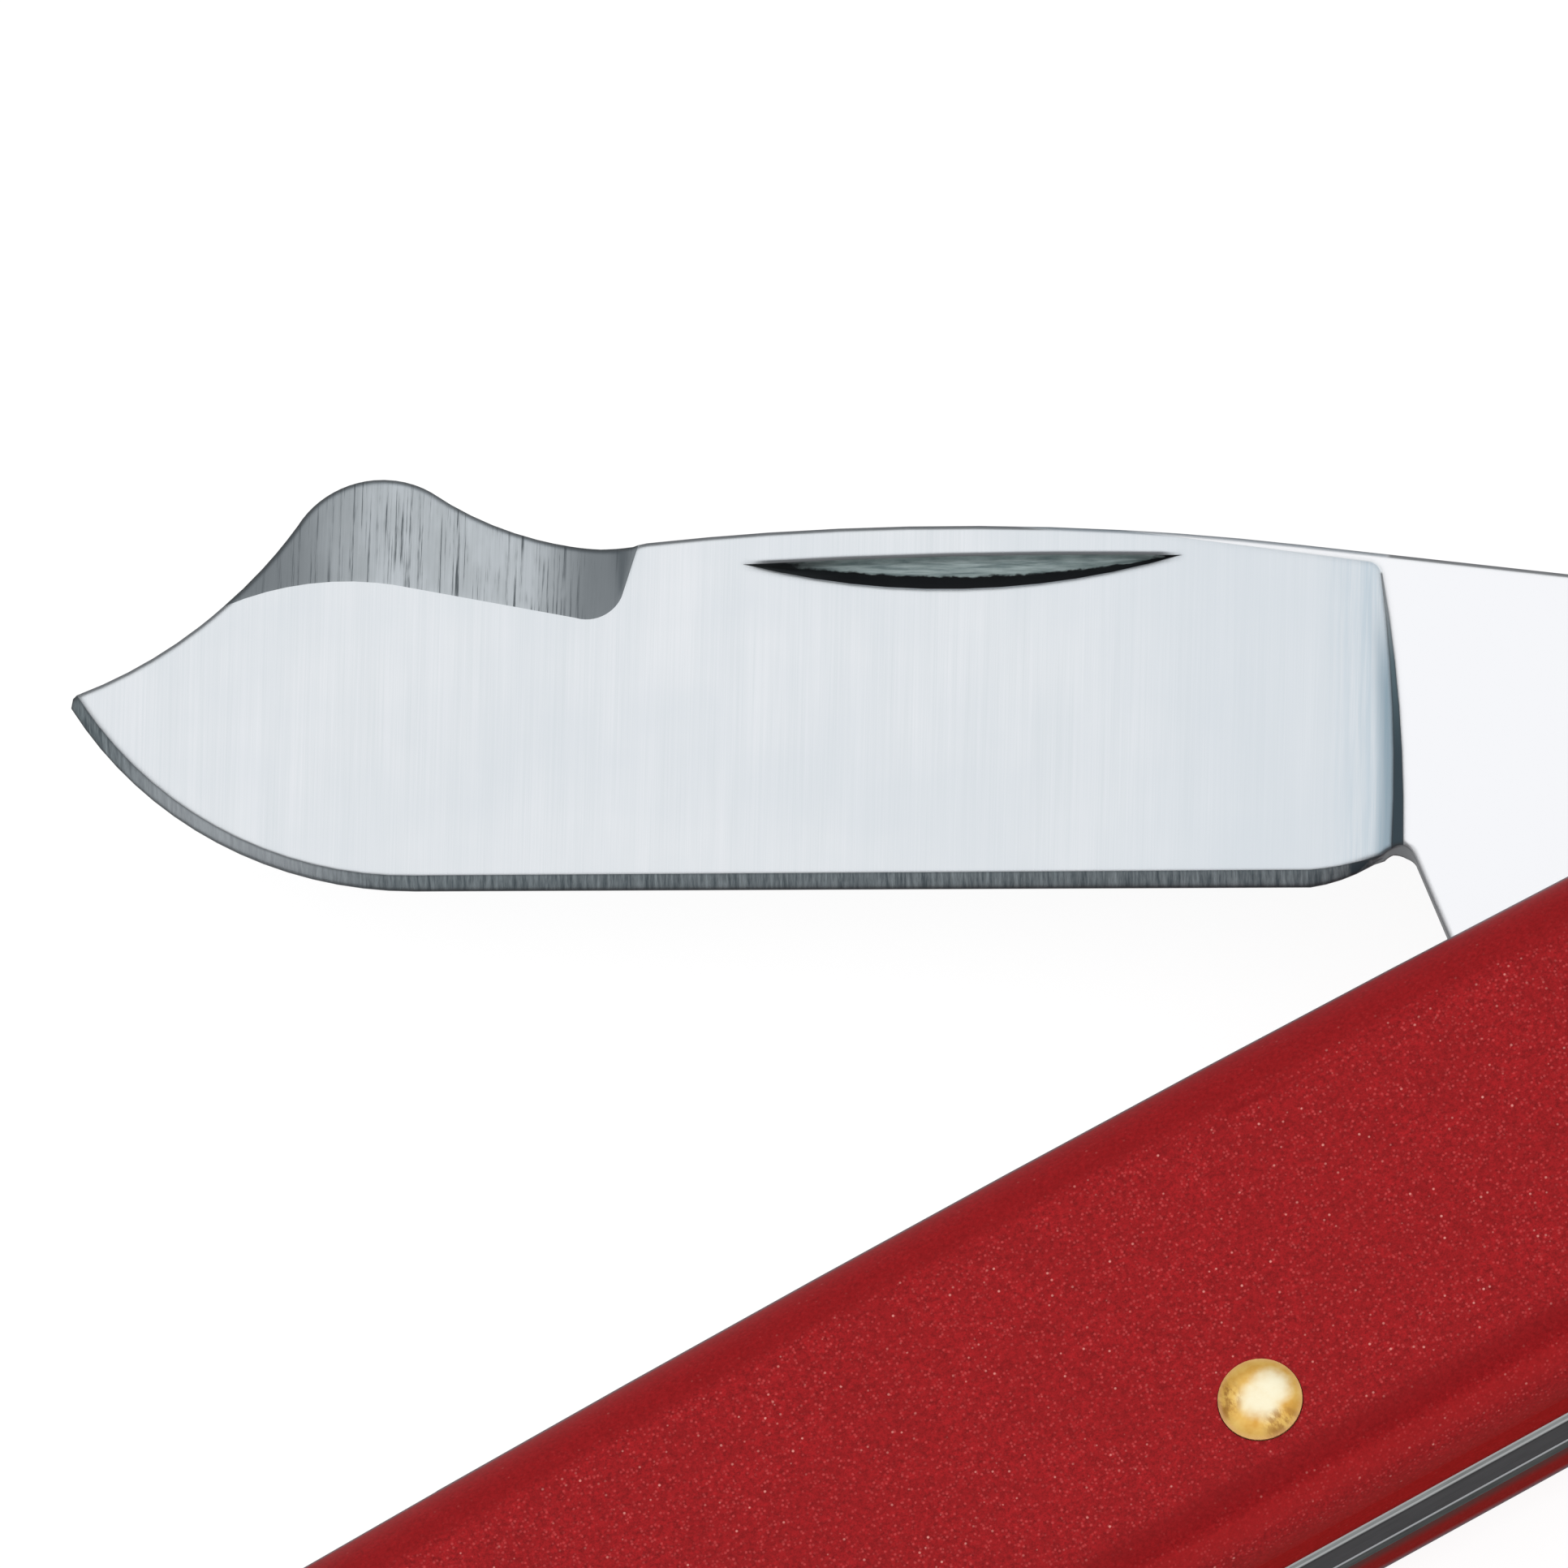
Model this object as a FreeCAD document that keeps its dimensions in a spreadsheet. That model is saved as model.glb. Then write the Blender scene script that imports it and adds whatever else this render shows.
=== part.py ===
import FreeCAD, Part
import math
import os
import Sketcher

# Folding grafting knife.  Millimetres, +Z up.  The knife lies on its rear scale.
# The origin is where the pivot axis meets the flat of the rear scale.
# +X runs along the handle to its front end, +Y is the slot side, -Y the spring back.
# Blade sizes are given with the blade shut: tip toward -X, cutting edge toward -Y.

SIZES = [
    # layers of the handle, rear to front: scale, liner, spring and blade, liner, scale
    ("scale_thick", 5.5), ("liner_thick", 1.0), ("spring_thick", 2.2), ("scale_round", 3.6),
    ("washer_thick", 0.1), ("side_play", 0.01), ("tang_half", 0.99),
    # handle outline
    ("front_x", 0.4), ("front_slot_y", 7.78), ("front_back_y", -10.0), ("front_radius", 8.95),
    ("taper_x", -30.0), ("back_y", -11.73), ("taper_radius", 264.0),
    ("butt_x", -82.9), ("butt_slot_y", 8.41), ("butt_radius", 10.18), ("slot_radius", 1300.0),
    # rivets, collars and washers
    ("pivot_shank", 1.5), ("pivot_head", 2.1), ("rivet_shank", 1.2), ("rivet_head", 1.8),
    ("head_rise", 0.42), ("head_rim", 0.1), ("dome_eye", 0.05), ("pivot_dome", 7.05), ("rivet_dome", 5.22),
    ("hole_gap", 0.03), ("collar_long", 1.2), ("collar_sink", 0.05), ("washer_radius", 4.0),
    ("mid_x", -41.5), ("mid_y", -6.43), ("end_x", -83.0), ("end_y", -5.0),
    # cutting edge, belly and tip
    ("heel_x", -31.8), ("edge_y", -1.05), ("belly_x", -70.0), ("belly_radius", 17.7),
    ("tip_x", -84.92), ("tip_y", 7.2), ("tip_top_x", -84.82), ("tip_top_y", 7.5),
    # back of the tip, bark lifter hump and spine
    ("hollow_radius", 19.2), ("hump_front_x", -75.4), ("hump_front_y", 15.15),
    ("hump_radius", 4.06), ("hump_rear_x", -69.75), ("hump_rear_y", 16.7),
    ("slope_radius", 14.35), ("valley_x", -62.4), ("valley_y", 14.05), ("lifter_end_x", -61.0),
    ("spine_x", -60.4), ("spine_y", 14.18), ("spine_radius", 121.0),
    ("spine_end_x", -32.6), ("spine_end_y", 13.97),
    # tang: shoulder, flats, rounded walk, kick and choil
    ("shoulder_x", -3.05), ("shoulder_y", 10.4), ("flat_y", 4.7), ("flat_half", 1.706),
    ("walk_radius", 5.0), ("under_x", -3.0), ("kick_in_x", -22.9), ("kick_out_x", -24.5),
    ("kick_y", -6.35), ("front_edge_x", -25.0), ("front_edge_y", -5.4),
    ("choil_x", -27.4), ("choil_y", 0.2), ("choil_round", 0.8),
    ("choil_end_x", -28.7), ("choil_end_y", 0.25), ("choil_radius", 6.8), ("heel_radius", 40.0),
    # flat grind: half thickness at the pivot, lean toward tip and edge, curved step
    ("grind_half", 0.4949), ("grind_lean", 2.063), ("step_run", 1.1), ("step_rise", 1.0),
    ("step_top_x", -29.05), ("step_top_y", 12.75), ("step_low_x", -28.35), ("step_low_y", 0.7),
    ("step_radius", 66.0), ("step_corner", 0.6), ("run_out_x", -29.55), ("run_out_y", 13.2),
    ("run_end_x", -44.0), ("run_end_y", 15.2),
    # edge bevel, per face
    ("edge_half", 0.04), ("bevel_rise", 0.8), ("bevel_run", 1.2), ("bevel_tip_run", 0.53),
    ("tip_lean_x", 0.8362), ("tip_lean_y", 0.5486), ("tip_past_x", 1.5), ("tip_past_y", 2.6),
    # bark lifter facet, per face
    ("skin", 0.01), ("facet_deep", 0.75), ("facet_rise", 5.5), ("facet_wall", 0.5),
    ("facet_front_x", -81.0), ("facet_front_y", 9.9), ("facet_radius", 12.9),
    ("facet_bend_x", -70.5), ("facet_bend_y", 12.2),
    ("facet_rear_x", -63.4), ("facet_rear_y", 10.83), ("facet_corner", 1.6),
    ("facet_turn_x", -61.42), ("facet_turn_y", 11.75), ("facet_out_x", -59.2), ("facet_out_y", 19.5),
    # nail nick
    ("nick_deep", 0.65), ("nick_front_x", -56.3), ("nick_front_y", 13.23),
    ("nick_rear_x", -37.5), ("nick_rear_y", 13.55), ("nick_low_radius", 32.9),
    ("nick_top_radius", 250.0), ("nick_draw", 1.6), ("nick_lift", 0.05),
    ("nick_floor_radius", 75.0),
    # back spring, inner side
    ("nose_x", 3.0), ("nose_y", -5.0), ("nose_out_y", -9.26), ("nose_in_x", -4.6),
    ("thin_x", -8.0), ("thin_y", -7.2), ("pad_rear_x", -26.8), ("pad_front_x", -20.8),
    ("pad_y", -6.5), ("pad_slope", 1.4), ("flex_y", -7.8), ("lug_x", 3.2), ("lug_y", -3.2),
    ("lug_slope", 3.0), ("tail_y", -2.0), ("tail_in_x", -80.2), ("tail_slope", 3.4),
    ("tail_out_x", -88.6), ("tail_back_x", -90.66), ("tail_back_y", -5.89),
    # opening angle of the blade as built, degrees from shut
    ("opening", 30.0), ("none", 0.0),
]
SIZE = dict(SIZES)
STACK = "2 * Sizes.scale_thick + 2 * Sizes.liner_thick + Sizes.spring_thick"
LAYER = "Sizes.scale_thick + Sizes.liner_thick"
RECESS = "(Sizes.collar_long + Sizes.collar_sink)"

doc = FreeCAD.newDocument("GraftingKnife")
sheet = doc.addObject("Spreadsheet::Sheet", "Sizes")
for row, (name, number) in enumerate(SIZES, start=1):
    sheet.set("A%d" % row, name)
    sheet.set("B%d" % row, str(number))
    sheet.setAlias("B%d" % row, name)
doc.recompute()


def terms(text):
    """Signed words of a sum such as '- tip_x + bevel_run*tip_lean_x'."""
    sign = 1
    for word in text.split():
        if word in "+-":
            sign = 1 if word == "+" else -1
        else:
            yield sign, word.split("*")
            sign = 1


def value(text):
    """The sum as a number, for the first layout of a sketch."""
    total = 0.0
    for sign, factors in terms(text):
        for factor in factors:
            sign *= SIZE[factor] if factor in SIZE else float(factor)
        total += sign
    return total


def bound(text):
    """The same sum written for the sheet."""
    out = ""
    for sign, factors in terms(text):
        named = ["Sizes." + f if f in SIZE else f for f in factors]
        out += (" + " if sign > 0 else " - ") + " * ".join(named)
    return out.strip().lstrip("+").strip()


def body(label):
    made = doc.addObject("PartDesign::Body", label)
    made.Label = label
    return made


def place(made, x=None, y=None, z=None):
    for axis, text in (("x", x), ("y", y), ("z", z)):
        if text:
            made.setExpression("Placement.Base." + axis, text)


def plane(made, role):
    return next(o for o in made.Origin.OriginFeatures if o.Role == role)


def arc_curve(a, b, radius, turn):
    """Arc from a to b, turning 'left' or 'right' on the way, shorter than a half turn."""
    span = math.hypot(b[0] - a[0], b[1] - a[1])
    back = math.sqrt(max(radius ** 2 - span ** 2 / 4, 0.0))
    side = 1 if turn == "left" else -1
    cx = (a[0] + b[0]) / 2 - side * back * (b[1] - a[1]) / span
    cy = (a[1] + b[1]) / 2 + side * back * (b[0] - a[0]) / span
    start, stop = (a, b) if side > 0 else (b, a)
    a0 = math.atan2(start[1] - cy, start[0] - cx)
    a1 = math.atan2(stop[1] - cy, stop[0] - cx)
    if a1 < a0:
        a1 += 2 * math.pi
    circle = Part.Circle(FreeCAD.Vector(cx, cy, 0), FreeCAD.Vector(0, 0, 1), radius)
    return Part.ArcOfCircle(circle, a0, a1)


def bind(sk, kind, geo, point, text, name):
    """Hold one coordinate of a point, or a radius, to the sheet."""
    if text == "axis":
        sk.addConstraint(Sketcher.Constraint("PointOnObject", geo, point, -2))
        return
    if kind == "Radius":
        index = sk.addConstraint(Sketcher.Constraint(kind, geo, value(text)))
    else:
        index = sk.addConstraint(Sketcher.Constraint(kind, -1, 1, geo, point, value(text)))
    sk.renameConstraint(index, name)
    sk.setExpression("Constraints." + name, bound(text))


def outline(made, name, path, holes=(), role="XY_Plane", level=None, lean=None):
    """Closed sketch.  path: (x, y) by line or (x, y, radius, turn) by arc from the point before;
    the first entry closes the loop.  holes: (x, y, radius)."""
    sk = made.newObject("Sketcher::SketchObject", name)
    sk.AttachmentSupport = (plane(made, role), [""])
    sk.MapMode = "FlatFace"
    if lean:
        turn = FreeCAD.Rotation(FreeCAD.Vector(*lean[0]), SIZE[lean[1]])
        sk.AttachmentOffset = FreeCAD.Placement(FreeCAD.Vector(0, 0, 0), turn)
        sk.setExpression("AttachmentOffset.Rotation.Angle", "Sizes." + lean[1])
    if level:
        sk.setExpression("AttachmentOffset.Base.z", level)
    spots = [(0.0 if p[0] == "axis" else value(p[0]), value(p[1])) for p in path]
    count = len(path)
    ends = []
    for i in range(count):
        a, b, step = spots[i], spots[(i + 1) % count], path[(i + 1) % count]
        if len(step) == 2:
            sk.addGeometry(Part.LineSegment(FreeCAD.Vector(*a, 0), FreeCAD.Vector(*b, 0)))
            ends.append((1, 2))
        else:
            sk.addGeometry(arc_curve(a, b, value(step[2]), step[3]))
            ends.append((1, 2) if step[3] == "left" else (2, 1))
    for i in range(count):
        after = (i + 1) % count
        sk.addConstraint(Sketcher.Constraint("Coincident", i, ends[i][1], after, ends[after][0]))
        bind(sk, "DistanceX", i, ends[i][0], path[i][0], "x%d" % i)
        bind(sk, "DistanceY", i, ends[i][0], path[i][1], "y%d" % i)
        if len(path[after]) == 4:
            bind(sk, "Radius", i, 0, path[after][2], "r%d" % i)
    for k, (x, y, radius) in enumerate(holes):
        spot = (0.0 if x == "0" else value(x), 0.0 if y == "0" else value(y))
        circle = Part.Circle(FreeCAD.Vector(*spot, 0), FreeCAD.Vector(0, 0, 1), value(radius))
        geo = sk.addGeometry(circle)
        if x == "0":
            sk.addConstraint(Sketcher.Constraint("Coincident", geo, 3, -1, 1))
        else:
            bind(sk, "DistanceX", geo, 3, x, "hx%d" % k)
            bind(sk, "DistanceY", geo, 3, y, "hy%d" % k)
        bind(sk, "Radius", geo, 0, radius, "hr%d" % k)
    return sk


def pad(made, name, sk, length):
    grown = made.newObject("PartDesign::Pad", name)
    grown.Profile = sk
    grown.setExpression("Length", length)
    return grown


def loft_cut(made, name, first, last):
    cut = made.newObject("PartDesign::SubtractiveLoft", name)
    cut.Profile = first
    cut.Sections = [last]
    cut.Ruled = True
    return cut


def holes_through(gap="hole_gap"):
    return [("0", "0", "pivot_shank + " + gap), ("mid_x", "mid_y", "rivet_shank + " + gap),
            ("end_x", "end_y", "rivet_shank + " + gap)]


# ---------------------------------------------------------------- blade
blade = body("blade")
profile = outline(blade, "blade_profile", [
    ("heel_x", "edge_y", "choil_radius", "right"),
    ("belly_x", "edge_y"),
    ("tip_x", "tip_y", "belly_radius", "right"),
    ("tip_top_x", "tip_top_y"),
    ("hump_front_x", "hump_front_y", "hollow_radius", "left"),
    ("hump_rear_x", "hump_rear_y", "hump_radius", "right"),
    ("valley_x", "valley_y", "slope_radius", "left"),
    ("lifter_end_x", "valley_y"),
    ("spine_x", "spine_y"),
    ("spine_end_x", "spine_end_y", "spine_radius", "right"),
    ("shoulder_x", "shoulder_y"),
    ("shoulder_x", "flat_y"),
    ("flat_half", "flat_y"),
    ("flat_half", "- flat_y", "walk_radius", "right"),
    ("under_x", "- flat_y"),
    ("kick_in_x", "kick_y"),
    ("kick_out_x", "kick_y"),
    ("front_edge_x", "front_edge_y"),
    ("choil_x", "choil_y"),
    ("choil_end_x", "choil_end_y", "choil_round", "left"),
], holes=[("0", "0", "pivot_shank + hole_gap")], level="-Sizes.tang_half")
pad(blade, "blade_blank", profile, "2 * Sizes.tang_half")

# flat grind: everything above a leaning plane ahead of the curved step
LEAN = ((0.9996, -0.0278, 0), "grind_lean")


def grind_area(name, level, shift):
    return outline(blade, name, [
        ("run_out_x + " + shift, "run_out_y + " + shift + "*0.3", "step_corner", "left"),
        ("run_end_x", "run_end_y + " + shift + "*0.3"),
        ("run_end_x", "22"),
        ("-100", "22"),
        ("-100", "-12"),
        ("step_low_x + 0.3 + " + shift, "-12"),
        ("step_low_x + " + shift, "step_low_y"),
        ("step_top_x + " + shift, "step_top_y", "step_radius", "left"),
    ], level=level, lean=LEAN)


grind = loft_cut(blade, "flat_grind", grind_area("grind_floor", "Sizes.grind_half", "none"),
                 grind_area("grind_mouth", "Sizes.grind_half + Sizes.step_rise", "step_run"))


# cutting bevel along the straight edge and round the belly; it runs out to nothing at the choil
def bevel_area(name, level, run, tip_run, heel_radius):
    tip_x = "tip_x + " + tip_run + "*tip_lean_x"
    tip_y = "tip_y + " + tip_run + "*tip_lean_y"
    return outline(blade, name, [
        ("choil_end_x", "choil_end_y"),
        ("heel_x", "edge_y + " + run, heel_radius, "right"),
        ("belly_x", "edge_y + " + run),
        (tip_x, tip_y, "belly_radius - " + run + "*0.7", "right"),
        (tip_x + " - tip_past_x", tip_y + " + tip_past_y"),
        ("-95", tip_y + " + tip_past_y"),
        ("-95", "-12"),
        ("choil_end_x", "-12"),
    ], level=level)


bevel = loft_cut(blade, "edge_bevel",
                 bevel_area("bevel_edge", "Sizes.edge_half", "none", "none", "choil_radius"),
                 bevel_area("bevel_top", "Sizes.bevel_rise", "bevel_run", "bevel_tip_run",
                            "heel_radius"))


# bark lifter facet, shallow at its lower border and deepest at the hump
def facet_area(name, level, rise, wall):
    return outline(blade, name, [
        ("facet_front_x", "facet_front_y + " + rise),
        ("facet_bend_x", "facet_bend_y + " + rise, "facet_radius", "right"),
        ("facet_rear_x - " + wall, "facet_rear_y + " + rise),
        ("facet_turn_x - " + wall, "facet_turn_y + " + rise, "facet_corner", "left"),
        ("facet_out_x - " + wall, "facet_out_y"),
        ("facet_front_x", "facet_out_y"),
    ], level=level, lean=LEAN)


facet = loft_cut(blade, "lifter_facet",
                 facet_area("facet_face", "Sizes.grind_half + Sizes.skin", "none", "none"),
                 facet_area("facet_floor", "Sizes.grind_half - Sizes.facet_deep",
                            "facet_rise", "facet_wall"))

mirror = blade.newObject("PartDesign::Mirrored", "other_face")
mirror.Originals = [grind, bevel, facet]
mirror.MirrorPlane = (plane(blade, "XY_Plane"), [""])
blade.Tip = mirror

# crescent nail nick in the front face only
nick_face = outline(blade, "nick_face", [
    ("nick_front_x", "nick_front_y", "nick_top_radius", "left"),
    ("nick_rear_x", "nick_rear_y", "nick_low_radius", "left"),
], level="Sizes.grind_half + Sizes.skin", lean=LEAN)
nick_floor = outline(blade, "nick_floor", [
    ("nick_front_x + nick_draw", "nick_front_y + nick_lift", "nick_top_radius", "left"),
    ("nick_rear_x - nick_draw", "nick_rear_y + nick_lift", "nick_floor_radius", "left"),
], level="Sizes.grind_half - Sizes.nick_deep", lean=LEAN)
loft_cut(blade, "nail_nick", nick_face, nick_floor)
place(blade, z=LAYER + " + Sizes.spring_thick / 2")
blade.Placement.Rotation = FreeCAD.Rotation(FreeCAD.Vector(0, 0, -1), SIZE["opening"])
blade.setExpression("Placement.Rotation.Angle", "Sizes.opening")

# ---------------------------------------------------------------- handle
HANDLE = [
    ("front_x", "front_slot_y", "slot_radius", "right"),
    ("front_x", "front_back_y", "front_radius", "right"),
    ("taper_x", "back_y", "taper_radius", "right"),
    ("butt_x", "back_y"),
    ("butt_x", "butt_slot_y", "butt_radius", "right"),
]


def liner(label, level):
    made = body(label)
    pad(made, label + "_sheet", outline(made, label + "_outline", HANDLE, holes_through()),
        "Sizes.liner_thick")
    place(made, z=level)


def scale(label, level, outer_up):
    """Scale with its outer edge rounded and a recess under each rivet head."""
    made = body(label)
    slab = pad(made, label + "_slab",
               outline(made, label + "_outline", HANDLE, holes_through()), "Sizes.scale_thick")
    recess = outline(made, label + "_recess", HANDLE_RECESS[0], HANDLE_RECESS[1],
                     level="Sizes.scale_thick - " + RECESS if outer_up else None)
    doc.recompute()
    outer = SIZE["scale_thick"] if outer_up else 0.0
    rims = []
    for k, edge in enumerate(slab.Shape.Edges, start=1):
        flat = all(abs(v.Z - outer) < 1e-6 for v in edge.Vertexes)
        if flat and edge.BoundBox.DiagonalLength > 8 and not edge.isClosed():
            rims.append("Edge%d" % k)
    rounded = made.newObject("PartDesign::Fillet", label + "_round")
    rounded.Base = (slab, rims)
    rounded.setExpression("Radius", "Sizes.scale_round")
    pocket = made.newObject("PartDesign::Pocket", label + "_recesses")
    pocket.Profile = recess
    pocket.setExpression("Length", RECESS)
    pocket.Reversed = True
    place(made, z=level)


# recesses: three circles of their own
HANDLE_RECESS = ([], [("0", "0", "pivot_head + hole_gap"),
                      ("mid_x", "mid_y", "rivet_head + hole_gap"),
                      ("end_x", "end_y", "rivet_head + hole_gap")])

scale("rear_scale", None, False)
liner("rear_liner", "Sizes.scale_thick")
liner("front_liner", LAYER + " + Sizes.spring_thick")
scale("front_scale", LAYER + " + Sizes.spring_thick + Sizes.liner_thick", True)

# ---------------------------------------------------------------- back spring
spring = body("back_spring")
pad(spring, "spring_bar", outline(spring, "spring_outline", [
    ("nose_x", "nose_y"),
    ("nose_x", "nose_out_y"),
    ("front_x", "front_back_y"),
    ("taper_x", "back_y", "taper_radius", "right"),
    ("butt_x", "back_y"),
    ("tail_back_x", "tail_back_y", "butt_radius", "right"),
    ("tail_out_x", "tail_y"),
    ("tail_in_x", "tail_y"),
    ("tail_in_x + tail_slope", "flex_y"),
    ("mid_x - lug_x - lug_slope", "flex_y"),
    ("mid_x - lug_x", "lug_y"),
    ("mid_x + lug_x", "lug_y"),
    ("mid_x + lug_x + lug_slope", "flex_y"),
    ("pad_rear_x - pad_slope", "flex_y"),
    ("pad_rear_x", "pad_y"),
    ("pad_front_x", "pad_y"),
    ("pad_front_x + pad_slope", "thin_y"),
    ("thin_x", "thin_y"),
    ("nose_in_x", "nose_y"),
], holes=holes_through()[1:]), "Sizes.spring_thick")
place(spring, z=LAYER)


# ---------------------------------------------------------------- rivets, collars, washers
def rivet(label, shank, head, dome, x=None, y=None):
    """Brass rivet through the whole handle with a low dome at both ends."""
    made = body(label)
    top = "scale_thick*2 + liner_thick*2 + spring_thick"
    half = outline(made, label + "_half", [
        ("axis", "- head_rise"),
        ("dome_eye", "- head_rise"),
        (head, "- head_rim", dome, "left"),
        (head, "collar_sink"),
        (shank, "collar_sink"),
        (shank, top + " - collar_sink"),
        (head, top + " - collar_sink"),
        (head, top + " + head_rim"),
        ("dome_eye", top + " + head_rise", dome, "left"),
        ("axis", top + " + head_rise"),
    ], role="XZ_Plane")
    turned = made.newObject("PartDesign::Revolution", label + "_turned")
    turned.Profile = half
    turned.ReferenceAxis = (half, ["V_Axis"])
    turned.Angle = 360
    place(made, x, y)


def ring(label, outer, inner, length, x=None, y=None, z=None):
    made = body(label)
    pad(made, label + "_ring", outline(made, label + "_circles", [],
        [("0", "0", outer), ("0", "0", inner)]), length)
    place(made, x, y, z)


for spot, shank, head, dome, x, y in (
        ("pivot", "pivot_shank", "pivot_head", "pivot_dome", None, None),
        ("centre", "rivet_shank", "rivet_head", "rivet_dome", "Sizes.mid_x", "Sizes.mid_y"),
        ("butt", "rivet_shank", "rivet_head", "rivet_dome", "Sizes.end_x", "Sizes.end_y")):
    rivet(spot + "_rivet", shank, head, dome, x, y)
    ring(spot + "_collar_rear", head, shank + " + hole_gap", "Sizes.collar_long", x, y,
         "Sizes.collar_sink")
    ring(spot + "_collar_front", head, shank + " + hole_gap", "Sizes.collar_long", x, y,
         STACK + " - " + RECESS)

ring("rear_pivot_washer", "washer_radius", "pivot_shank + hole_gap", "Sizes.washer_thick",
     z=LAYER)
ring("front_pivot_washer", "washer_radius", "pivot_shank + hole_gap", "Sizes.washer_thick",
     z=LAYER + " + Sizes.spring_thick - Sizes.washer_thick")

doc.recompute()

# ---------------------------------------------------------------- check and write
for item in doc.Objects:
    if "Invalid" in item.State or "Error" in item.State:
        raise RuntimeError("%s is not built: %s" % (item.Name, item.State))
os.makedirs("parts", exist_ok=True)
for item in doc.Objects:
    if item.TypeId == "PartDesign::Body":
        if not item.Shape.isValid() or len(item.Shape.Solids) != 1:
            raise RuntimeError("%s has no single valid solid" % item.Label)
        item.Shape.exportStep("parts/%s.step" % item.Label)
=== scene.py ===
import bpy
import math
from mathutils import Matrix, Vector


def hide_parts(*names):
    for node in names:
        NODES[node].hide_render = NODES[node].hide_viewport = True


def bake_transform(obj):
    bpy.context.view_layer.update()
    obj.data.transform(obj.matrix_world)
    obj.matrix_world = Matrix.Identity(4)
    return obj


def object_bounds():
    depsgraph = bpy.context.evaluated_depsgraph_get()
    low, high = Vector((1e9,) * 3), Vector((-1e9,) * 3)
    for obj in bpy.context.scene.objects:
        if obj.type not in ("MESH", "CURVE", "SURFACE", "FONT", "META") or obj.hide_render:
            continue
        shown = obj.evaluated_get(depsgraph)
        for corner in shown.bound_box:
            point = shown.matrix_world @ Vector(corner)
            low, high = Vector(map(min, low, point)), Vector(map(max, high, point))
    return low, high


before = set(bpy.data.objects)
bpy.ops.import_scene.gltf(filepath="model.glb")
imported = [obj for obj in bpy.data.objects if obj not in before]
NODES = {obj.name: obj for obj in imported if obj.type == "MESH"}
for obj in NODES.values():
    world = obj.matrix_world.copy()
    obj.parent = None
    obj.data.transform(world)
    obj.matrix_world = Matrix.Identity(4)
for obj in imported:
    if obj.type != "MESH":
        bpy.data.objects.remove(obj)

LOW_BEFORE, HIGH_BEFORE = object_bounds()
MM = 0.001
OPENING = math.radians(30)      # how far the blade is open in the pose as built

# Places on the blade in millimetres, along x and across y of the blade as it lies when shut:
# the cutting edge at low y, the back with the nail nick and the bark lifter at high y.
GRIND_END = -28.6               # where the flat grind stops
LIFTER_START = -60.5            # where the lifter's facet starts
LIFTER_LOW = 8.8                # the facet lies above this, the cutting bevel below it
NICK_X = (-57.0, -37.0)
NICK_Y = (11.0, 14.0)
NICK_MIDDLE = sum(NICK_X) / 2

# Heights of the layers in millimetres, from the rear scale's flat.
REAR_SCALE_TOP = 5.5
FRONT_SCALE_LOW = 9.7


# ------------------------------------------------------------------ node helpers
def srgb(r, g, b):
    """Linear colour from 0-255 screen values."""
    def one(c):
        c = c / 255
        return c / 12.92 if c <= 0.04045 else ((c + 0.055) / 1.055) ** 2.4
    return (one(r), one(g), one(b), 1.0)


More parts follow.
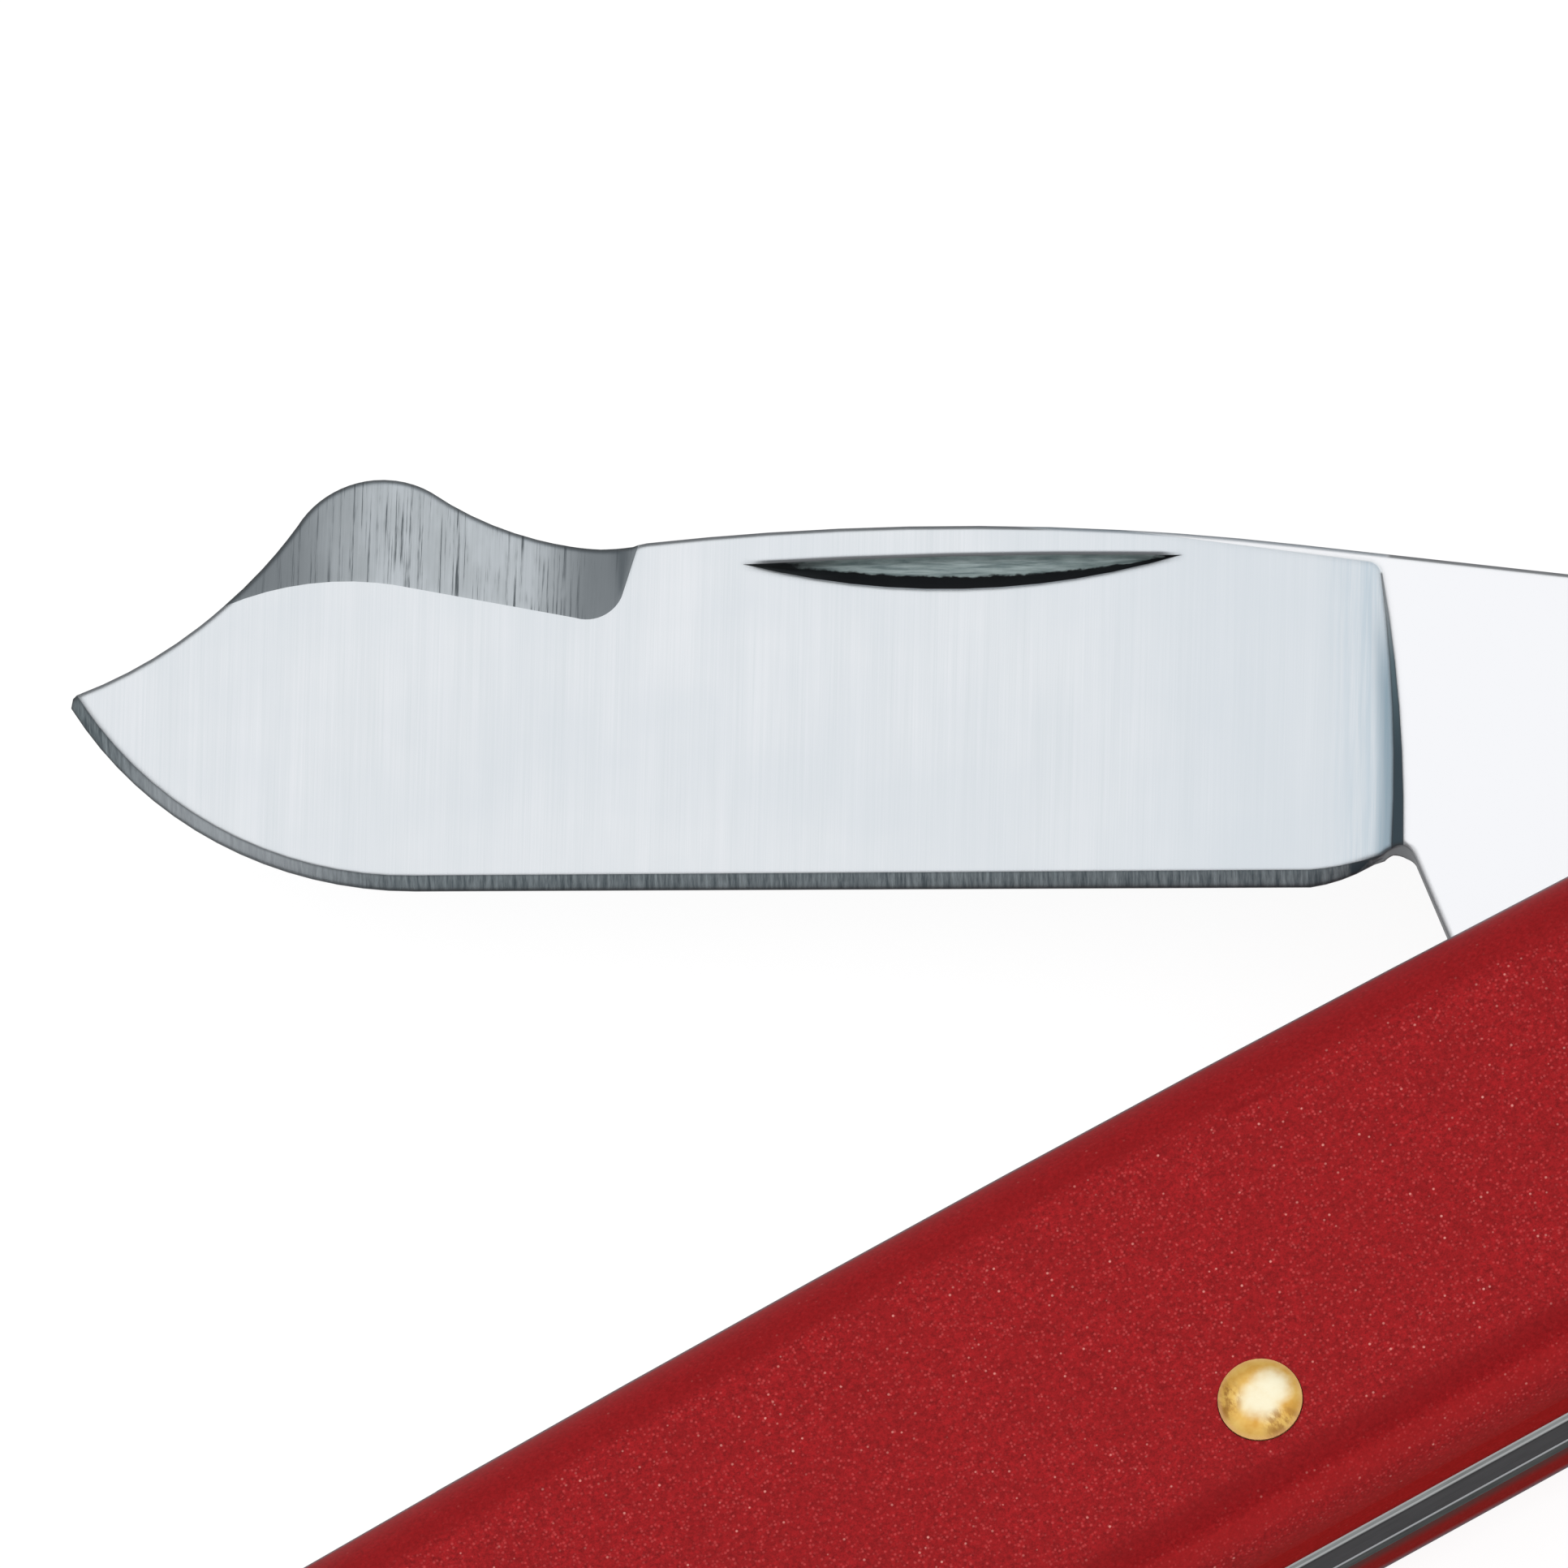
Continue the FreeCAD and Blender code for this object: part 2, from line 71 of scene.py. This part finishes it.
class Graph:
    """A small wrapper that builds a shader node tree from function calls."""

    def __init__(self, tree):
        self.tree = tree
        tree.nodes.clear()

    def node(self, kind, inputs=None, **settings):
        made = self.tree.nodes.new(kind)
        for key, setting in settings.items():
            setattr(made, key, setting)
        for key, given in (inputs or {}).items():
            self.put(made.inputs[key], given)
        return made

    def put(self, socket, given):
        if isinstance(given, bpy.types.NodeSocket):
            self.tree.links.new(given, socket)
        elif given is not None:
            socket.default_value = given

    def math(self, operation, a, b=None, c=None, clamp=False):
        made = self.node("ShaderNodeMath", operation=operation, use_clamp=clamp)
        for index, given in enumerate((a, b, c)):
            if given is not None:
                self.put(made.inputs[index], given)
        return made.outputs[0]

    def step(self, given, low, high):
        """Smooth 0 to 1 as given goes from low to high (either order)."""
        made = self.node("ShaderNodeMapRange", interpolation_type="SMOOTHSTEP")
        flip = low > high
        for key, item in (("Value", given), ("From Min", min(low, high)),
                          ("From Max", max(low, high)), ("To Min", 1.0 if flip else 0.0),
                          ("To Max", 0.0 if flip else 1.0)):
            self.put(made.inputs[key], item)
        return made.outputs["Result"]

    def within(self, given, low, high, soft):
        """1 between low and high, fading to 0 over a width of soft inside both ends."""
        return self.all_of(self.step(given, low, low + soft), self.step(given, high, high - soft))

    def invert(self, mask):
        return self.math("SUBTRACT", 1.0, mask)

    def spread(self, given, low=0.35, high=0.65, new_low=0.0, new_high=1.0):
        """Straight line from (low, high) to (new_low, new_high); the defaults suit a noise."""
        made = self.node("ShaderNodeMapRange")
        for key, item in (("Value", given), ("From Min", low), ("From Max", high),
                          ("To Min", new_low), ("To Max", new_high)):
            self.put(made.inputs[key], item)
        return made.outputs["Result"]

    def mix(self, amount, a, b, blend="MIX"):
        made = self.node("ShaderNodeMix", data_type="RGBA", blend_type=blend)
        self.put(made.inputs[0], amount)
        self.put(made.inputs[6], a)
        self.put(made.inputs[7], b)
        return made.outputs[2]

    def noise(self, place, scale, detail=2.0, rough=0.5):
        made = self.node("ShaderNodeTexNoise", {"Vector": place, "Scale": scale,
                                                "Detail": detail, "Roughness": rough})
        return made.outputs[0]

    def stretched(self, place, sx, sy, sz=1.0, turn=0.0):
        made = self.node("ShaderNodeMapping", {"Vector": place, "Scale": (sx, sy, sz),
                                               "Rotation": (0, 0, turn)})
        return made.outputs[0]

    def split(self, place):
        return self.node("ShaderNodeSeparateXYZ", {0: place}).outputs

    def all_of(self, *masks):
        """The product of the masks."""
        out = masks[0]
        for mask in masks[1:]:
            out = self.math("MULTIPLY", out, mask)
        return out


def material(name, build, tint):
    made = bpy.data.materials.new(name)
    made.use_nodes = True
    made.diffuse_color = tint
    graph = Graph(made.node_tree)
    out = graph.node("ShaderNodeOutputMaterial")
    shader = build(graph)
    graph.tree.links.new(shader.outputs[0], out.inputs["Surface"])
    return made


def add_object(name, data):
    made = bpy.data.objects.new(name, data)
    bpy.context.scene.collection.objects.link(made)
    return made


def millimetres(graph, turn=0.0):
    """Object position in millimetres, turned about Z."""
    where = graph.node("ShaderNodeTexCoord").outputs["Object"]
    return graph.node("ShaderNodeMapping", {"Vector": where, "Scale": (1000, 1000, 1000),
                                            "Rotation": (0, 0, turn)}).outputs[0]


def bump(graph, height, strength, distance, rounded=None):
    """Bump of the given depth; rounded is the radius that softens the mesh's own edges."""
    inputs = {"Height": height, "Strength": strength, "Distance": distance * MM}
    if rounded:
        soft = graph.node("ShaderNodeBevel", {"Radius": rounded * MM}, samples=4)
        inputs["Normal"] = soft.outputs[0]
    return graph.node("ShaderNodeBump", inputs).outputs[0]


# ------------------------------------------------------------------ blade
def blade_steel(g):
    """Bright steel; the areas are told apart by their place and by how much they lean."""
    place = millimetres(g, OPENING)
    x, y, z = g.split(place)
    true = g.node("ShaderNodeNewGeometry").outputs["True Normal"]
    facing = g.split(true)[2]
    lean = g.math("ABSOLUTE", facing)
    flat = g.step(lean, 0.9968, 0.9984)
    sloped = g.invert(flat)
    unground = g.step(lean, 0.9996, 0.9999)
    steep = g.step(lean, 0.80, 0.60)
    slanted = g.all_of(sloped, g.invert(steep))

    # the areas of the blade
    bevel = g.all_of(g.step(y, LIFTER_LOW, LIFTER_LOW - 0.4), sloped, g.step(lean, 0.05, 0.12),
                     g.step(x, GRIND_END + 0.1, GRIND_END - 0.1))
    facet = g.all_of(g.step(x, LIFTER_START + 0.1, LIFTER_START - 0.1),
                     g.step(y, LIFTER_LOW, LIFTER_LOW + 0.2), slanted)
    # height over the ground face, which leans 2.06 degrees: negative inside the nick
    sunk = g.math("SUBTRACT", g.math("MULTIPLY_ADD", z, 0.99935, -8.0900),
                  g.math("MULTIPLY_ADD", y, 0.03598, g.math("MULTIPLY", x, 0.0010)))
    butt_end = g.all_of(g.step(x, -65.0, -64.0), g.step(x, -59.9, -60.2), g.step(y, 9.0, 9.5),
                        g.step(lean, 0.97, 0.90), g.step(lean, 0.15, 0.25))
    nick = g.all_of(g.within(x, *NICK_X, 0.1), g.within(y, *NICK_Y, 0.1), g.step(z, 7.2, 7.3),
                    g.step(sunk, -0.03, -0.06))
    wall = g.all_of(g.within(x, GRIND_END - 1.6, GRIND_END + 1.3, 0.2), sloped,
                    g.step(lean, 0.4, 0.5))
    # the grind's upper border, where the step runs out
    border = g.math("SUBTRACT", y, g.math("MULTIPLY_ADD", x, -0.1384, 9.11))
    along = g.all_of(g.step(x, -45.5, -45.0), g.step(x, GRIND_END, GRIND_END - 0.3),
                     g.step(g.math("ABSOLUTE", border), 0.50, 0.35))
    fade = g.all_of(sloped, g.step(lean, 0.08, 0.12),
                    g.math("MAXIMUM", along, g.math("MULTIPLY", wall, g.step(y, 8.5, 12.6))))

    fine = g.noise(g.stretched(place, 13.0, 0.09), 1.0, 3.0, 0.6)
    broad = g.noise(g.stretched(place, 0.9, 0.06), 1.0, 2.0, 0.5)
    cloud = g.noise(place, 0.16, 3.0, 0.55)
    grain = g.math("ADD", g.math("MULTIPLY", fine, 0.6), g.math("MULTIPLY", broad, 0.4))

    face = g.mix(g.spread(grain), srgb(222, 227, 231), srgb(233, 236, 240))
    face = g.mix(g.math("MULTIPLY", g.spread(cloud), 0.4), face,
                 srgb(215, 222, 228))
    face = g.mix(g.math("MULTIPLY", g.step(x, -46.0, -33.0), 0.45), face, srgb(212, 220, 227))
    colour = g.mix(unground, face, srgb(245, 246, 249))

    # beside the step: streaks left by the wheel, tinted bluish as painted shade of the curved
    # grind, and a darker painted shade at the foot of the step
    wheel = g.noise(g.stretched(place, 5.0, 0.12), 1.0, 3.0, 0.7)
    rise = g.math("SUBTRACT", y, 0.7)
    step_x = g.math("MULTIPLY_ADD", rise, g.math("MULTIPLY_ADD", rise, -0.0076, 0.0335), GRIND_END)
    near = g.math("SUBTRACT", step_x, x)
    ground = g.math("SUBTRACT", flat, unground)
    streaks_and_painted_shade = g.all_of(g.step(near, 3.2, 0.0), ground, g.step(wheel, 0.30, 0.70))
    colour = g.mix(g.math("MULTIPLY", streaks_and_painted_shade, 0.6), colour, srgb(182, 200, 212))
    shade = g.all_of(g.step(near, 0.7, 0.0), ground, g.step(y, 12.6, 7.0), g.step(x, -29.8, -29.4))
    colour = g.mix(g.math("MULTIPLY", shade, 0.7), colour, srgb(112, 140, 156))

    # cutting bevel: fine streaks across it over a dark colour that is a painted dark reflection,
    # partly lighter near the tip
    streak = g.noise(g.stretched(place, 5.5, 0.25), 1.0, 4.0, 0.7)
    dark = g.mix(g.spread(streak, 0.35, 0.68, 0.0, 1.0), srgb(78, 88, 93), srgb(140, 150, 154))
    dark = g.mix(g.all_of(g.step(x, -70.0, -77.0), g.step(x, -84.0, -80.0), 0.45), dark,
                 srgb(196, 200, 205))
    colour = g.mix(bevel, colour, dark)

    # lifter: grey with dark scratches, and painted shade toward either end where the ground surface
    # curves away
    scratch = g.noise(g.stretched(place, 6.5, 0.06), 1.0, 5.0, 0.75)
    soot = g.noise(g.stretched(place, 0.8, 0.25), 1.0, 3.0, 0.6)
    grey = g.mix(g.spread(soot), srgb(196, 202, 207), srgb(180, 186, 190))
    grey = g.mix(g.math("MULTIPLY", g.spread(fine), 0.25), grey,
                 srgb(150, 157, 161))
    grey = g.mix(g.math("MULTIPLY", g.step(scratch, 0.53, 0.63), g.step(soot, 0.30, 0.52)), grey,
                 srgb(92, 98, 102))
    painted_end_shade = g.math("MAXIMUM", g.step(x, -71.0, -76.5), g.step(x, -66.0, -62.6))
    grey = g.mix(g.math("MULTIPLY", painted_end_shade, 0.85), grey, srgb(110, 116, 120))
    colour = g.mix(facet, colour, grey)
    # painted shade on the wall at the lifter's butt end
    colour = g.mix(butt_end, colour, srgb(126, 132, 136))

    # nail nick: painted light and shadow, a grey painted reflection on the far slope above a ragged
    # border, a nearly black painted shadow below, and painted shade toward its left end
    ragged = g.math("ADD", y, g.math("MULTIPLY", g.noise(place, 1.6, 4.0, 0.7), 0.45))
    off_centre = g.math("SUBTRACT", x, NICK_MIDDLE)
    ragged = g.math("SUBTRACT", ragged,
                    g.math("MULTIPLY", g.math("MULTIPLY", off_centre, off_centre), 0.0102))
    lines = g.noise(g.stretched(place, 0.5, 6.0), 1.0, 4.0, 0.7)
    pale = g.mix(g.spread(lines), srgb(118, 134, 135), srgb(178, 192, 192))
    nick_painted_light_and_shadow = g.mix(g.step(ragged, 12.97, 13.12), srgb(20, 21, 24), pale)
    nick_painted_light_and_shadow = g.mix(g.step(x, -51.5, -55.5), nick_painted_light_and_shadow, srgb(48, 52, 54))
    colour = g.mix(nick, colour, nick_painted_light_and_shadow)

    # step at the end of the grind: painted shade on its wall, dark at the bottom and lighter
    # upward, fading out at its upper corner
    shaded = g.mix(g.step(y, 4.0, 11.5), srgb(62, 76, 84), srgb(110, 132, 140))
    colour = g.mix(wall, colour, shaded)
    colour = g.mix(fade, colour, srgb(226, 231, 235))

    # painted dark reflection: a dark line where the sides meet the faces, found by how far a
    # rounded normal turns away; steep sides get the same painted shade
    soft = g.node("ShaderNodeBevel", {"Radius": 0.42 * MM}, samples=8).outputs[0]
    turn = g.node("ShaderNodeVectorMath", {0: soft, 1: true}, operation="DOT_PRODUCT")
    line = g.all_of(g.step(turn.outputs["Value"], 0.985, 0.95), g.invert(along),
                    g.invert(nick))
    painted_edge_shade = g.math("MAXIMUM", g.math("MULTIPLY", line, 0.8),
                  g.all_of(g.step(lean, 0.3, 0.1), g.invert(nick), 0.6))
    colour = g.mix(painted_edge_shade, colour, srgb(66, 70, 73))

    matt = g.math("MAXIMUM", g.math("MAXIMUM", bevel, wall), g.math("MAXIMUM", nick, line))
    matt = g.math("MAXIMUM", matt, butt_end)
    matt = g.math("MULTIPLY", matt, g.invert(fade))
    normal = g.node("ShaderNodeBump", {"Height": grain, "Strength": 0.2, "Distance": 0.01 * MM,
                                       "Normal": soft}).outputs[0]
    upright = g.node("ShaderNodeCombineXYZ", {2: g.math("SIGN", facing)}).outputs[0]
    level = g.node("ShaderNodeMix", {0: fade, 4: normal, 5: upright},
                   data_type="VECTOR").outputs[1]
    return g.node("ShaderNodeBsdfPrincipled", {
        "Base Color": colour, "Metallic": g.math("MULTIPLY_ADD", matt, -0.8, 1.0),
        "Roughness": g.math("MULTIPLY_ADD", matt, 0.2, 0.28), "Normal": level,
        "Specular IOR Level": 0.2, "Anisotropic": 0.3})


# ------------------------------------------------------------------ nylon with metallic flake
def nylon(g):
    """Dark red with pale flakes; `over` is 1 on the flats and 0 on upright walls."""
    place = millimetres(g)
    height = g.split(place)[2]
    mottle = g.noise(place, 5.5, 5.0, 0.8)
    broad = g.noise(place, 0.5, 2.0, 0.5)
    base = g.mix(g.spread(mottle, 0.36, 0.64, 0.0, 1.0), srgb(124, 4, 9), srgb(174, 22, 28))
    base = g.mix(g.math("MULTIPLY", g.spread(broad), 0.25), base,
                 srgb(134, 8, 12))

    # painted shade and highlight where the edge rounds over: a painted dark band first, then a
    # painted lighter band, then painted shade at the outer edge
    normal = g.split(g.node("ShaderNodeNewGeometry").outputs["Normal"])
    over = g.math("ABSOLUTE", normal[2])
    back = g.step(normal[1], 0.25, -0.25)
    slot_side = g.invert(back)
    painted_dark_band = g.math("MULTIPLY", g.step(over, 0.9995, 0.955),
                    g.math("MAXIMUM", g.step(over, 0.76, 0.90), slot_side))
    painted_light_band = g.all_of(g.step(over, 0.86, 0.74), g.step(over, 0.45, 0.65), back)
    painted_rim_shading = g.step(over, 0.62, 0.0)
    upright = g.step(over, 0.3, 0.1)
    crevice_shade = g.all_of(g.within(height, FRONT_SCALE_LOW - 0.7, FRONT_SCALE_LOW + 0.5, 0.5), upright)
    shadow = g.all_of(g.step(height, REAR_SCALE_TOP - 1.2, REAR_SCALE_TOP - 0.1),
                      g.step(height, REAR_SCALE_TOP + 0.4, REAR_SCALE_TOP + 0.1), upright)
    # painted grazing reflection: a greyish line wherever a rounded edge is seen nearly edge-on
    glance = g.node("ShaderNodeLayerWeight", {"Blend": 0.5}).outputs["Facing"]
    edge_on = g.math("MULTIPLY", g.step(glance, 0.76, 0.88), g.step(over, 0.95, 0.80))
    quiet = g.invert(g.math("MULTIPLY", g.math("MAXIMUM", painted_dark_band, upright), 0.75))

    def specks(scale, size, share, low, high):
        cells = g.node("ShaderNodeTexVoronoi", {"Vector": place, "Scale": scale})
        pick = g.split(cells.outputs["Color"])
        dot = g.step(cells.outputs["Distance"], size, size * 0.4)
        chosen = g.step(pick[0], 1.0 - share, 1.02 - share)
        return g.all_of(dot, chosen, g.spread(pick[1], 0.0, 1.0, low, high), quiet)

    base = g.mix(specks(6.5, 0.55, 0.45, 0.05, 0.48), base, srgb(214, 84, 84))
    base = g.mix(specks(3.2, 0.24, 0.18, 0.10, 0.75), base, srgb(240, 160, 150))
    base = g.mix(g.math("MULTIPLY", painted_dark_band, 0.45), base, srgb(128, 5, 10))
    base = g.mix(g.math("MULTIPLY", painted_light_band, 0.45), base, srgb(172, 34, 36))
    base = g.mix(g.math("MULTIPLY", painted_rim_shading, 0.6), base, srgb(134, 34, 31))
    # painted shade in the crevice where the front scale meets the liner
    base = g.mix(g.math("MULTIPLY", crevice_shade, 0.45), base, srgb(90, 30, 27))
    # painted shade: the rear scale is coloured darker and browner than the front one
    rear_scale = g.step(height, REAR_SCALE_TOP + 0.1, REAR_SCALE_TOP - 0.3)
    base = g.mix(g.math("MULTIPLY", rear_scale, 0.35), base, srgb(84, 40, 36))
    base = g.mix(g.math("MULTIPLY", shadow, 0.7), base, srgb(62, 60, 58))
    base = g.mix(g.math("MULTIPLY", edge_on, 0.85), base, srgb(100, 90, 96))
    shine = g.math("MULTIPLY", g.step(over, 0.0, 0.7), 0.12)
    return g.node("ShaderNodeBsdfPrincipled", {
        "Base Color": base, "Roughness": 0.42, "Specular IOR Level": shine,
        "Normal": bump(g, mottle, 0.05, 0.02)})


def brass(g):
    """Painted highlight pale at the crown, gold round it, brown patches on two sides, a painted
    pinkish highlight on the outer edge.
    """
    place = millimetres(g)
    normal = g.node("ShaderNodeNewGeometry").outputs["Normal"]

    def facing(direction):
        return g.node("ShaderNodeVectorMath", {0: normal, 1: tuple(Vector(direction).normalized())},
                      operation="DOT_PRODUCT").outputs["Value"]

    gold_mottle = g.noise(place, 1.1, 3.0, 0.55)
    gold = g.mix(g.spread(gold_mottle), srgb(226, 170, 74), srgb(248, 204, 112))
    sides = g.math("ABSOLUTE", g.split(normal)[2])
    # painted highlight: pale cream where the dome's normal points near two set directions
    painted_crown_highlight = g.math("MAXIMUM", facing((0.0, -0.02, 1.0)), facing((0.11, 0.03, 0.99)))
    painted_crown_highlight = g.math("ADD", painted_crown_highlight, g.math("MULTIPLY", gold_mottle, 0.02))
    colour = g.mix(g.step(painted_crown_highlight, 0.986, 1.012), gold, srgb(255, 247, 216))
    grain = g.noise(g.stretched(place, 2.4, 1.3, 1.0, 0.6), 1.0, 4.0, 0.7)
    # brown patches on the dome's sides toward two set directions, broken up by grain
    brown_sides = g.math("MAXIMUM", g.step(facing((-0.30, 0.16, 0.94)), 0.972, 0.995),
                    g.step(facing((0.06, -0.30, 0.95)), 0.980, 0.998))
    brown_patches = g.math("MULTIPLY", brown_sides, g.step(grain, 0.38, 0.58))
    colour = g.mix(g.math("MULTIPLY", brown_patches, 0.75), colour, srgb(160, 104, 38))
    # painted highlight: pinkish cream on the dome's outer edge
    painted_rim_shading = g.step(sides, 0.954, 0.942)
    colour = g.mix(g.math("MULTIPLY", painted_rim_shading, 0.6), colour, srgb(255, 196, 140))
    return g.node("ShaderNodeBsdfPrincipled", {
        "Base Color": colour, "Metallic": 0.55, "Roughness": 0.24,
        "Normal": bump(g, grain, 0.08, 0.02)})


def satin(dark, light, rough, bands=()):
    """Plain metal with fine lines along the handle; bands are (low z, high z, colour) of painted
    highlight and painted shadow lines.
    """
    def build(g):
        place = millimetres(g)
        line = g.noise(g.stretched(place, 0.2, 9.0, 9.0), 1.0, 3.0, 0.6)
        blotch = g.noise(g.stretched(place, 0.7, 2.0, 2.0), 1.0, 4.0, 0.7)
        both = g.math("ADD", g.math("MULTIPLY", line, 0.5), g.math("MULTIPLY", blotch, 0.5))
        colour = g.mix(g.spread(both), dark, light)
        height = g.split(place)[2]
        blur = 0.06
        # painted highlight and painted shadow lines at set heights
        for low, high, tint in bands:
            inside = g.within(height, low - blur, high + blur, 2 * blur)
            colour = g.mix(g.math("MULTIPLY", inside, 0.9), colour, tint)
        return g.node("ShaderNodeBsdfPrincipled", {
            "Base Color": colour, "Metallic": 1.0, "Roughness": rough,
            "Normal": bump(g, line, 0.2, 0.01, 0.06)})
    return build


BLADE = material("blade_steel", blade_steel, srgb(222, 230, 236))
NYLON = material("red_flake_nylon", nylon, srgb(150, 30, 33))
BRASS = material("brass", brass, srgb(240, 200, 110))
# spring: colour darkened as a painted dark reflection, with a painted shadow line next to the front
# liner
SPRING = material("spring_steel", satin(srgb(52, 53, 56), srgb(74, 74, 78), 0.4,
                                        [(8.5, 8.8, srgb(22, 26, 30))]), srgb(60, 60, 62))
# front liner: painted highlight lines along its edges and a painted shadow line next to the spring
LINER = material("liner_steel", satin(srgb(150, 155, 154), srgb(206, 212, 212), 0.3,
                                      [(9.45, 9.8, srgb(235, 238, 238)),
                                       (8.82, 9.05, srgb(245, 250, 250)),
                                       (8.6, 8.74, srgb(50, 56, 60))]), srgb(136, 137, 131))
# rear liner: the liner steel coloured darker as painted shade, with a painted highlight line along
# its edge
SHADED_LINER = material("shaded_liner_steel", satin(srgb(44, 52, 52), srgb(92, 100, 98), 0.4,
                                                [(6.27, 6.6, srgb(232, 236, 240))]),
                      srgb(66, 76, 74))
BRONZE = material("bronze", satin(srgb(150, 100, 60), srgb(176, 122, 78), 0.35),
                  srgb(160, 110, 70))

FINISH = {"blade": BLADE, "back_spring": SPRING, "front_liner": LINER, "rear_liner": SHADED_LINER,
          "front_scale": NYLON, "rear_scale": NYLON, "front_pivot_washer": BRONZE,
          "rear_pivot_washer": BRONZE}


def finish(obj, made):
    obj.data.materials.clear()
    obj.data.materials.append(made)


for name, obj in NODES.items():
    finish(obj, FINISH.get(name, BRASS))


# ------------------------------------------------------------------ back spring as a copy of its own
def bending_spring():
    """The spring as a copy of its mesh with the world transform baked in; the original node is
    hidden.
    """
    source = NODES["back_spring"]
    mesh = source.data.copy()
    mesh.transform(source.matrix_world)
    made = add_object("back_spring_bar", mesh)
    made.data.materials.clear()
    made.data.materials.append(SPRING)
    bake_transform(made)
    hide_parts("back_spring")
    return made


bending_spring()


# ------------------------------------------------------------------ floor, light, camera
def floor():
    """White paper just under the rear rivet heads, the lowest points of the knife."""
    mesh = bpy.data.meshes.new("floor")
    size, low = 3.0, LOW_BEFORE[2] - 0.01 * MM
    mesh.from_pydata([(-size, -size, low), (size, -size, low), (size, size, low),
                      (-size, size, low)], [], [(0, 1, 2, 3)])
    made = add_object("floor", mesh)

    def paper(g):
        glossy = g.node("ShaderNodeLightPath").outputs["Is Glossy Ray"]
        return g.node("ShaderNodeBsdfPrincipled", {
            "Base Color": (0.18, 0.18, 0.18, 1), "Roughness": 0.9, "Specular IOR Level": 0.0,
            "Emission Color": (1, 1, 1, 1),
            "Emission Strength": g.math("MULTIPLY_ADD", glossy, -0.62, 0.89)})
    made.data.materials.append(material("paper_floor", paper, (0.9, 0.9, 0.9, 1)))


def sky():
    """Even soft light for matt surfaces; an overhead softbox seen in the metal."""
    world = bpy.data.worlds.new("studio")
    bpy.context.scene.world = world
    world.use_nodes = True
    g = Graph(world.node_tree)
    way = g.node("ShaderNodeTexCoord").outputs["Generated"]

    def toward(direction):
        vector = Vector(direction).normalized()
        return g.node("ShaderNodeVectorMath", {0: way, 1: tuple(vector)},
                      operation="DOT_PRODUCT").outputs["Value"]

    up = g.math("MAXIMUM", toward((0.0, 0.25, 0.96)), 0.0)
    even = g.math("ADD", 0.52, g.math("MULTIPLY", g.math("MULTIPLY", up, up), 1.05))
    box = g.step(toward((0.06, 0.22, 0.96)), 0.78, 0.93)
    glow = g.mix(box, (0.34, 0.37, 0.39, 1), (1.0, 1.0, 1.0, 1))
    rays = g.node("ShaderNodeLightPath").outputs
    even = g.node("ShaderNodeCombineColor", {0: even, 1: even, 2: even}).outputs[0]
    colour = g.mix(rays["Is Glossy Ray"], even, glow)
    colour = g.mix(rays["Is Camera Ray"], colour, (0.99, 0.99, 0.99, 1))
    out = g.node("ShaderNodeOutputWorld")
    back = g.node("ShaderNodeBackground", {"Color": colour, "Strength": 1.0})
    g.tree.links.new(back.outputs[0], out.inputs["Surface"])


def camera():
    """Very long lens, seen from 19 degrees off straight down, rolled 16 degrees."""
    lens, distance = 1600, 2.9608           # millimetres, metres
    back = Vector((-0.075, -0.317, 0.9455)).normalized()
    right = Vector((0.973, -0.230, 0.0))
    right = (right - back * right.dot(back)).normalized()
    up = back.cross(right)
    roll = math.radians(16.1)
    across = right * math.cos(roll) - up * math.sin(roll)
    above = right * math.sin(roll) + up * math.cos(roll)
    aim = Vector((-45.33, 30.0, 8.7)) * MM
    data = bpy.data.cameras.new("camera")
    data.sensor_width = 36
    data.lens = lens
    data.clip_start = 0.01
    made = add_object("camera", data)
    turn = Matrix((across, above, back)).transposed().to_4x4()
    made.matrix_world = Matrix.Translation(aim + back * distance) @ turn
    bpy.context.scene.camera = made


floor()
sky()
camera()
bpy.context.scene.view_settings.view_transform = "Standard"
bpy.context.scene.view_settings.look = "None"
